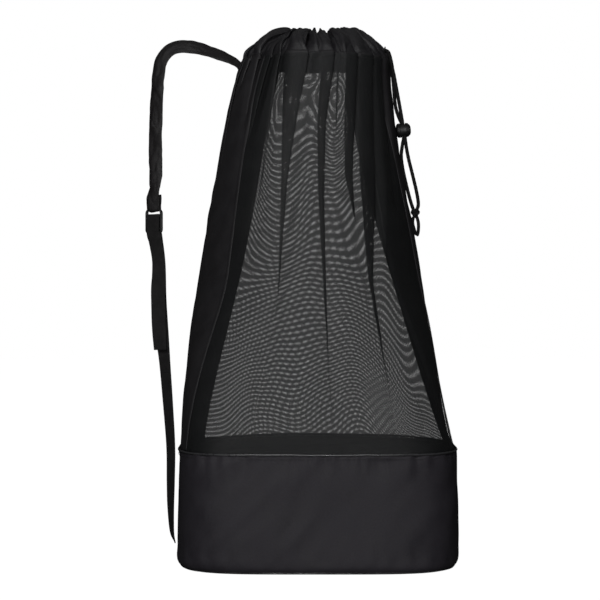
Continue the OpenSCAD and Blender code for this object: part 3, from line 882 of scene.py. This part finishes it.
def make_casing():
    """The folded hem: gathers along the cord, wrinkles between them, and an uneven crest."""
    section = spline(np.array(CASING_SECTION) * MM, SECTION_STEPS)
    v = np.linspace(0, 1, SECTION_STEPS)[:, None]
    a = np.linspace(0, 360, CASING_COLS + 1)[None]
    turn, sink = fold_shift(np.broadcast_to(a, (SECTION_STEPS, CASING_COLS + 1)), np.ones((1, 1)))
    normal = unit(np.gradient(section, axis=0))
    out_r, out_z = normal[:, 1][:, None], -normal[:, 0][:, None]
    # Where along the section: clear of the stitched foot, at the crest, on the inner side
    rise = ease(v / 0.14)
    crest = np.exp(-((v - 0.50) / 0.20) ** 2)
    inner = ease((v - 0.55) / 0.3)
    turns = np.radians(a)
    cos, sin = np.cos(turns), np.sin(turns)
    slant = turns + 0.07 * gradient_noise(cos * 3 + 9, sin * 3 + v * 3, 5)
    big = pillows(slant, BIG_GATHERS, 1.3) - 0.55
    small = pillows(slant, SMALL_GATHERS, 2.6) - 0.55
    puff = (big * (1.4 + 7.5 * rise) + small * (0.9 + 3.4 * rise)) * (1 - 0.5 * inner) * MM
    lump = LUMP * gradient_noise(cos * 7 + 3, sin * 7 + v * 5, 11) * rise
    push = puff + lump - sink * mix(0.9, mix(1.05, 0.5, inner), rise) - 0.5 * MM * rise
    crease = ridge(np.cos(slant) * 6 + 2, np.sin(slant) * 6 + v * 1.2, 23) * rise * (1 - inner)
    push = push - CREASE * crease
    r = section[:, 0][:, None] + out_r * push
    z = section[:, 1][:, None] + out_z * push * 0.8
    spikes = ridge(cos * 9 + 4, sin * 9 + v, 19)
    z = z + crest * (5.0 * big + 4.2 * small + 4.4 * spikes + 0.8) * MM
    right, left = np.clip(sin, 0, 1) ** 2, np.clip(-sin, 0, 1) ** 2
    collar = ease(v / 0.16) * (1 - ease((v - 0.20) / 0.22))
    r = r - right * (RIGHT_PULL * (1 - 1.5 * crest) + RIGHT_TUCK * collar)
    r = r - left * LEFT_TUCK * crest
    z = z + (1 - rise) * FOOT_WANDER * gradient_noise(cos * 3, sin * 3, 15)
    points = polar(r, a + turn * mix(1, 0.75, rise), z)
    points[:, -1] = points[:, 0]
    casing = sheet_mesh("gathered_casing", points, cloth_uv(points), CASING_CLOTH, wrap=True,
                        thick=CASING_T)
    settle(casing, "bag", "casing", slot="casing_fabric")
    return points


def make_casing_stitching(points):
    """Two rows of stitches and the turned edge at the foot of the casing."""
    normals = grid_normals(points, True)
    strip = points[:EDGE_ROWS] + normals[:EDGE_ROWS] * 0.5 * MM
    sew("casing_edge", strip, "casing_binding", wrap=True, thick=0.5 * MM)
    rows = [stitches("casing_row", points[k] + normals[k] * 1.0 * MM, normals[k],
                     3.0 * MM, 2.3 * MM) for k in (2, 4)]
    settle(join("casing_stitches", rows), "bag", slot="tape")


casing_points = make_casing()
make_casing_stitching(casing_points)


# ---- Drum ----
def drum_points(r, z, a):
    return polar(r * plan_k(a, FRONT_SQUARE), a, z)


DRUM_COLS = 640
DRUM_TOP_R = DRUM_R - 4 * MM
BASE_R = DRUM_R - CORNER_R
SIDE_SEAM = 168  # angle of the drum's own seam, at the back
CREASES_AT = -32  # angle of the slanting creases
RIM_PUCKER, FOOT_PUCKER = 3.6 * MM, 1.5 * MM
DRUM_SLACK, DRUM_CREASE, DRUM_SAG = 3.2 * MM, 2.6 * MM, 1.5 * MM


def wall_r(z):
    """Radius of the drum's wall above its rounded foot, drawn in towards the rim."""
    return DRUM_R - (DRUM_R - DRUM_TOP_R) * np.clip((z - CORNER_R) / (RIM_Z - CORNER_R), 0, 1) ** 2


def drum_profile():
    """Radius and height of the drum's wall, from the bottom seam up to the rim."""
    corner = np.radians(np.linspace(0, 90, 16))
    full = 0.66  # below 1 the stuffed corner is fuller than a quarter circle
    low = np.stack([BASE_R + CORNER_R * np.sin(corner) ** full,
                    CORNER_R - CORNER_R * np.maximum(np.cos(corner), 0) ** full], 1)
    z = np.linspace(CORNER_R, RIM_Z - 1 * MM, 60)[1:]
    return np.vstack([low, np.stack([wall_r(z), z], 1)])


def make_drum():
    """Wall of the drum: puckered at its seams, slack between them, creased at the left front."""
    profile = drum_profile()
    r, z = profile[:, 0][:, None], profile[:, 1][:, None]
    a = SIDE_SEAM + np.linspace(0, 360, DRUM_COLS + 1)[None]
    u = np.radians(a) * DRUM_R
    below_rim = np.exp(-(RIM_Z - z) / (16 * MM))
    above_foot = np.exp(-np.clip(z - CORNER_R, 0, 1) / (14 * MM)) * ease(z / CORNER_R)
    free = ease((RIM_Z - z) / (12 * MM)) * ease(z / CORNER_R)
    around = (a + 180) % 360 - 180
    at_left = np.exp(-((around - CREASES_AT) / 26.0) ** 2) * ease(z / (60 * MM))
    slant = gradient_noise((u * 0.75 - z * 0.66) / 0.024, (u * 0.66 + z * 0.75) / 0.11, 61)
    middle = np.sin(math.pi * np.clip(z / RIM_Z, 0, 1))
    r = r + RIM_PUCKER * gradient_noise(u / (13 * MM), z / (60 * MM), 2) * below_rim
    r = r + FOOT_PUCKER * gradient_noise(u / (16 * MM), z / (80 * MM), 4) * above_foot
    r = r + (crumple(u, z, 51, DRUM_SLACK) + DRUM_CREASE * at_left * slant) * free
    r = r + DRUM_SAG * middle * gradient_noise(u / 0.2, z / 0.2, 8)
    points = drum_points(r, z, a)
    points[:, -1] = points[:, 0]
    wall = sheet_mesh("drum_cloth", points, cloth_uv(points), DRUM_CLOTH, wrap=True, thick=1.2 * MM)
    settle(wall, "bag", "drum_wall", slot="drum_fabric")


def outline_ring(r, z, wander, seed):
    """Path round the drum that wanders a little up and down."""
    a = np.linspace(0, 360, 480, endpoint=False)
    u = np.radians(a) * DRUM_R
    points = drum_points(r + 0 * a, z, a)
    turns = np.radians(a)
    points[:, 2] += wander * gradient_noise(np.cos(turns) * 2.4 + 5, np.sin(turns) * 2.4, seed)
    points[:, 2] += 0.15 * MM * np.sin(u / (9 * MM))
    return points


def make_pipings():
    rim_low, rim_high = box("rim_piping")
    rim_z = (rim_low[2] + rim_high[2]) / 2
    rim = outline_ring(DRUM_TOP_R + 0.8 * MM, rim_z, 0.8 * MM, 3)
    settle(tube_mesh("rim_cord", rim, 1.5 * MM, PIPING, sides=12, closed=True),
           "bag", "rim_piping", slot="piping")
    foot_low, foot_high = box("bottom_piping")
    foot = outline_ring(foot_high[0] - 1.8 * MM, (foot_low[2] + foot_high[2]) / 2, 0.2 * MM, 6)
    settle(tube_mesh("foot_cord", foot, 1.6 * MM, PIPING, sides=12, closed=True),
           "bag", "bottom_piping", slot="piping")


def make_rim_tape():
    """Binding inside the rim seam, and the stitched flange under the piping."""
    low, high = box("rim_hem_tape")
    z = np.linspace(low[2], high[2], 6)[:, None]
    a = np.linspace(0, 360, 481)[None]
    points = drum_points(high[0] - 1.2 * MM + 0 * a + 0 * z, z, a + 0 * z)
    sew("rim_binding", points, "rim_hem_tape", wrap=True)
    inward = np.linspace(0, 1, 5)[:, None]
    points = drum_points(DRUM_TOP_R + (0.8 - 11 * inward) * MM + 0 * a,
                         RIM_Z - (0.5 + 2.5 * inward) * MM + 0 * a, a + 0 * inward)
    sew("rim_flange", points, wrap=True)
    line = outline_ring(DRUM_TOP_R + 0.9 * MM, RIM_Z - 6 * MM, 0.2 * MM, 9)
    line = np.vstack([line, line[:1]])
    normal = unit(line * np.array([1, 1, 0]))
    settle(stitches("rim_stitches", line, normal), "bag", slot="tape")


def make_drum_seam():
    low, high = box("drum_side_seam")
    z = np.linspace(low[2], high[2], 40)[:, None]
    a = np.linspace(SIDE_SEAM - 1.4, SIDE_SEAM + 1.4, 6)[None]
    points = drum_points(wall_r(z) + 1.2 * MM + 0 * a, z, a + 0 * z)
    sew("drum_seam_fold", points, "drum_side_seam")


make_drum()
make_pipings()
make_rim_tape()
make_drum_seam()

# ---- Shoulder strap ----
# Stations of the strap, (x, z, twist, y, share of the width), in mm and degrees. Where they are
# left out, y is 0 and the share is 1.
UPPER = [(-123, 797, 58, 0, .9), (-127, 804, 56, 0, .9), (-138, 812, 52, 0, .95), (-152, 818, 46),
         (-176, 827, 40), (-206, 835, 32), (-236, 833, 28), (-254, 815, 28, 0, .95),
         (-260, 790, 30), (-263, 748, 29), (-265, 690, 28), (-265, 650, 27), (-264.5, 626, 26),
         (-266, 605, 28, 0, .8)]
LOWER = [(-263.5, 522, 34), (-259.5, 480, 26), (-259, 420, 10), (-254, 360, 26), (-250, 320, 40),
         (-245, 256, 46), (-240, 180, 52), (-240, 121, 56), (-240, 80, 62), (-238, 40, 72),
         (-233, 22, 84)]
TAIL = [(-266, 520, 30, -6), (-259, 480, 28, -8), (-260, 430, 18, -8), (-259, 380, 20, -8),
        (-257, 338, 32, -8)]
BUCKLE_AT = np.array([-267.5, 0, 552]) * MM
BUCKLE_TURN = math.radians(-32)
BUCKLE_X = np.array([math.cos(BUCKLE_TURN), math.sin(BUCKLE_TURN), 0])
BUCKLE_Y = np.array([-math.sin(BUCKLE_TURN), math.cos(BUCKLE_TURN), 0])
TOP_BAR, MIDDLE_BAR, LOW_BAR = 16.5, 4.5, -16
BAR_D = 3.6
RING_HALF, RING_LOW, RING_CORNER = 13.6, -24, 6
WEBBING_SPLIT_Z = 0.30  # where the lower strap's two pieces meet


def in_buckle(points):
    """World points from the buckle's own (x, y, z) in mm: x across the webbing, y to the back."""
    p = np.atleast_2d(np.array(points, float)) * MM
    up = np.array([0, 0, 1])
    return BUCKLE_AT + p[:, :1] * BUCKLE_X + p[:, 1:2] * BUCKLE_Y + p[:, 2:] * up


def round_bar(bar, reach, front_first, below):
    """Path in the buckle's frame round a bar, under it or over it, from one side to the other."""
    turn = np.radians(np.linspace(0, 180, 9))
    y = -reach * np.cos(turn) if front_first else reach * np.cos(turn)
    z = bar + (-1 if below else 1) * reach * np.sin(turn)
    return [(0, yy, zz) for yy, zz in zip(y, z)]


def make_upper_strap():
    path, wide, share = stations_frame(UPPER, 190)
    loop = ([(0, -1.2, 44), (0, -3.4, 36), (0, -3.2, 24)] + round_bar(TOP_BAR, 3.2, True, True)
            + [(0, 3.2, 24), (0, 3.0, 34), (0, 1.8, 40)])
    curl = spline(np.vstack([path[-1:], in_buckle(loop)]), 70)[1:]
    full = np.vstack([path, curl])
    wide = np.vstack([wide, np.repeat(-BUCKLE_X[None], len(curl), 0)])
    pinch = mix(0.8, 1.0, ease(np.linspace(0, 3, len(curl))))
    width = WEB_W * np.concatenate([share, pinch])
    strap = ribbon_mesh("shoulder_strap", full, wide, width, WEB_T, STRAP_CLOTH, 1.3 * MM, 3,
                        puff=1.5 * MM)
    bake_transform(strap)
    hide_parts("strap_top_tab", "upper_strap", "strap_loop")
    rows = [stitches("strap_row", in_buckle([(x, -4.6, z) for x in np.linspace(-9, 9, 20)]),
                     np.repeat(-BUCKLE_Y[None], 20, 0), 2.6 * MM, 2.0 * MM, 0.3 * MM)
            for z in (27.5, 30.5)]
    settle(join("strap_stitches", rows), "strap", slot="strap_fabric")


def webbing_path(lead, stations, count):
    """Path and width direction of webbing that leads out of the buckle along its stations."""
    path, wide, _ = stations_frame(stations, count)
    lead = spline(np.vstack([in_buckle(lead), path[:1]]), 40)[:-1]
    return np.vstack([lead, path]), np.vstack([np.repeat(-BUCKLE_X[None], len(lead), 0), wide])


def make_webbing():
    back = [(0, 0, 7.6), (0, 2.1, 6.6), (0, 2.9, 4.5), (0, 2.9, -8), (0, 2.9, -22)]
    full, wide = webbing_path(back, LOWER, 330)
    split = int(np.argmin(np.abs(full[:, 2] - WEBBING_SPLIT_Z)))
    length = path_length(full[:split + 1])
    high = ribbon_mesh("lower_strap", full[:split + 1], wide[:split + 1], WEB_W, WEB_T, WEBBING)
    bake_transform(high)
    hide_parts("lower_webbing")
    low = ribbon_mesh("lower_strap_foot", full[split:], wide[split:], WEB_W, WEB_T, WEBBING,
                      start=length)
    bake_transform(low)
    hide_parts("strap_bottom_tab")

    front = [(0, 0, 7.6), (0, -2.1, 6.6), (0, -2.9, 4.5), (0, -2.9, -8), (0, -3.2, -22)]
    full, wide = webbing_path(front, TAIL, 110)
    tail = ribbon_mesh("strap_tail", full, wide, WEB_W, WEB_T, WEBBING, 0.5 * MM, 8)
    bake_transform(tail)
    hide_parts("webbing_tail", "webbing_wrap")


def make_buckle():
    """Ladder lock: a rounded frame with a middle bar and a low grip bar."""
    corner = np.radians(np.linspace(0, 90, 7))
    ring, half, high, low, radius = [], RING_HALF, TOP_BAR, RING_LOW, RING_CORNER
    for sx, sz, turns in ((1, 1, corner), (-1, 1, corner[::-1]), (-1, -1, corner),
                          (1, -1, corner[::-1])):
        zc = high - radius if sz > 0 else low + radius
        for t in turns:
            ring.append((sx * (half - radius + radius * math.cos(t)), 0,
                         zc + sz * radius * math.sin(t)))
    ring = np.array(ring)
    bow = np.sin((ring[:, 2] - low) / (high - low) * math.pi)
    ring[:, 0] += np.sign(ring[:, 0]) * 2.2 * bow
    ring[:, 1] = 0.9 * bow
    parts = [tube_mesh("buckle_ring", in_buckle(ring), (1.9 + 1.6 * bow) * MM, NYLON,
                       sides=14, closed=True)]
    x = np.linspace(-half, half, 15)
    thick = BAR_D / 2 * MM * (1 + 0.12 * (x / half) ** 4)
    for z in (MIDDLE_BAR, LOW_BAR):
        path = in_buckle(np.stack([x, 0.5 * np.cos(x / half), z + 0 * x], 1))
        parts.append(tube_mesh("buckle_bar", path, thick, NYLON, 14))
    settle(join("buckle", parts), "buckle", "ladder_lock", slot="buckle_plastic")


make_upper_strap()
make_webbing()
make_buckle()

# ---- Eyelets and the cord lock's trim ----
EYELET_Y, EYELET_Z = 6, 829
# The cord lock's own frame: x out of the button, z up along the cords, in mm
LOCK_AT = np.array([142.4, 0, 698]) * MM
LOCK_LEAN = math.radians(-5.5)


def in_lock(points):
    """World points from the lock's own frame."""
    p = np.atleast_2d(np.array(points, float)) * MM
    c, s = math.cos(LOCK_LEAN), math.sin(LOCK_LEAN)
    return LOCK_AT + np.stack([p[:, 0] * c + p[:, 2] * s, p[:, 1], p[:, 2] * c - p[:, 0] * s], 1)


def make_eyelets():
    """Two moulded grommets in the gathered casing, with the cord through each."""
    turn = np.linspace(0, 2 * math.pi, 40, endpoint=False)
    parts = []
    for side in (-EYELET_Y, EYELET_Y):
        for x, big, fat in ((111.2, 4.6, 0.9), (104.5, 4.6, 0.8)):
            ring = np.stack([x + 0 * turn, side + big * np.cos(turn),
                             EYELET_Z + big * np.sin(turn)], 1)
            parts.append(tube_mesh("eyelet_ring", ring * MM, fat * MM, NYLON, 10, closed=True))
    settle(join("eyelets", parts), "bag", "cord_eyelets", slot="eyelet")


def turned(name, profile):
    """Solid turned about the lock's own x axis, from (x, radius) in mm."""
    x, r = np.array(profile).T
    return tube_mesh(name, in_lock(np.stack([x, 0 * x, 0 * x], 1)), r * MM, NYLON, 40)


def make_lock_trim():
    """The barrel's rounded back, grip ribs and tapered collar, and the button's domed face."""
    turn = np.linspace(0, 2 * math.pi, 48, endpoint=False)
    rings = []
    for x, r, fat in ((-9.6, 10.8, 0.9), (-7.6, 11.5, 0.55), (-5.8, 11.5, 0.55), (3.7, 10.9, 0.9),
                      (4.9, 10.7, 0.85), (6, 10.45, 0.75), (7, 10.2, 0.7)):
        path = in_lock(np.stack([x + 0 * turn, r * np.cos(turn), r * np.sin(turn)], 1))
        rings.append(tube_mesh("lock_rib", path, fat * MM, NYLON, 10, closed=True))
    back = turned("lock_back", [(-10, 10.9), (-11, 10.5), (-12, 9.3), (-12.9, 7), (-13.4, 2)])
    settle(join("lock_ribs", rings + [back]), "cord_lock", slot="lock_plastic")
    dome = turned("button_face", [(7.6, 9.3), (8.3, 9.3), (9, 9), (9.7, 8.3), (10.3, 7.2),
                                  (10.8, 5.6), (11.2, 3.4), (11.4, 0.6)])
    settle(dome, "lock_plunger", slot="lock_plastic")


make_eyelets()
make_lock_trim()


# ---- CAD pieces that keep their own shape ----
KEPT = {"base_panel": DRUM_CLOTH, "base_stiffener": FOAM, "drawcord_ring": CORD,
        "lock_barrel": NYLON, "lock_button": NYLON, "lock_spring": STEEL}


def dress_cad_nodes():
    """Gives the CAD pieces that stay in view their materials."""
    for name, material in KEPT.items():
        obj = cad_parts[name]
        for slot in obj.material_slots:
            slot.link = "OBJECT"
            slot.material = material


dress_cad_nodes()


# ---- Stage, light and air ----
FLOOR_HALF = 9.0


def make_stage():
    """White floor, half a millimetre below the bag."""
    size = FLOOR_HALF
    floor = mesh_object("floor", [(-size, -size, 0), (size, -size, 0), (size, size, 0),
                                  (-size, size, 0)], [(0, 1, 2, 3)],
                        np.array([(0, 0), (1, 0), (1, 1), (0, 1)]), floor_material())
    floor.location.z = -0.5 * MM


# Area lights: name, place, target, side in metres, power in watts
LIGHTS = (("key", (-0.7, -3.3, 1.9), (0, 0, 0.4), 0.9, 80),
          ("fill", (0.15, -3.7, 0.45), (0, 0, 0.4), 0.9, 54),
          ("top", (0.0, 0.6, 3.4), (0, 0, 0), 3.0, 8))
AIR_LIGHT = 0.03  # strength of the world as a light


def area_light(name, place, target, side, power):
    """Square light turned towards its target."""
    data = bpy.data.lights.new(name, "AREA")
    data.shape = "RECTANGLE"
    data.size = data.size_y = side
    data.energy = power
    light = bpy.data.objects.new(name, data)
    light.location = place
    aim = np.array(target) - np.array(place)
    pitch = math.atan2(math.hypot(aim[0], aim[1]), -aim[2])
    light.rotation_euler = (pitch, 0, math.atan2(-aim[0], aim[1]))
    bpy.context.scene.collection.objects.link(light)


def make_world():
    """White all round to the eye and through the mesh, and dimmer as a light."""
    world = bpy.data.worlds.new("studio")
    bpy.context.scene.world = world
    world.use_nodes = True
    tree = world.node_tree
    background = tree.nodes["Background"]
    background.inputs["Color"].default_value = (1, 1, 1, 1)
    seen = tree.nodes.new("ShaderNodeLightPath").outputs["Is Camera Ray"]
    strength = tree.nodes.new("ShaderNodeMapRange")
    strength.inputs["To Min"].default_value = AIR_LIGHT
    strength.inputs["To Max"].default_value = 1.0
    tree.links.new(seen, strength.inputs["Value"])
    tree.links.new(strength.outputs[0], background.inputs["Strength"])


make_stage()
make_world()
for light in LIGHTS:
    area_light(*light)
bpy.context.scene.view_settings.view_transform = "Standard"
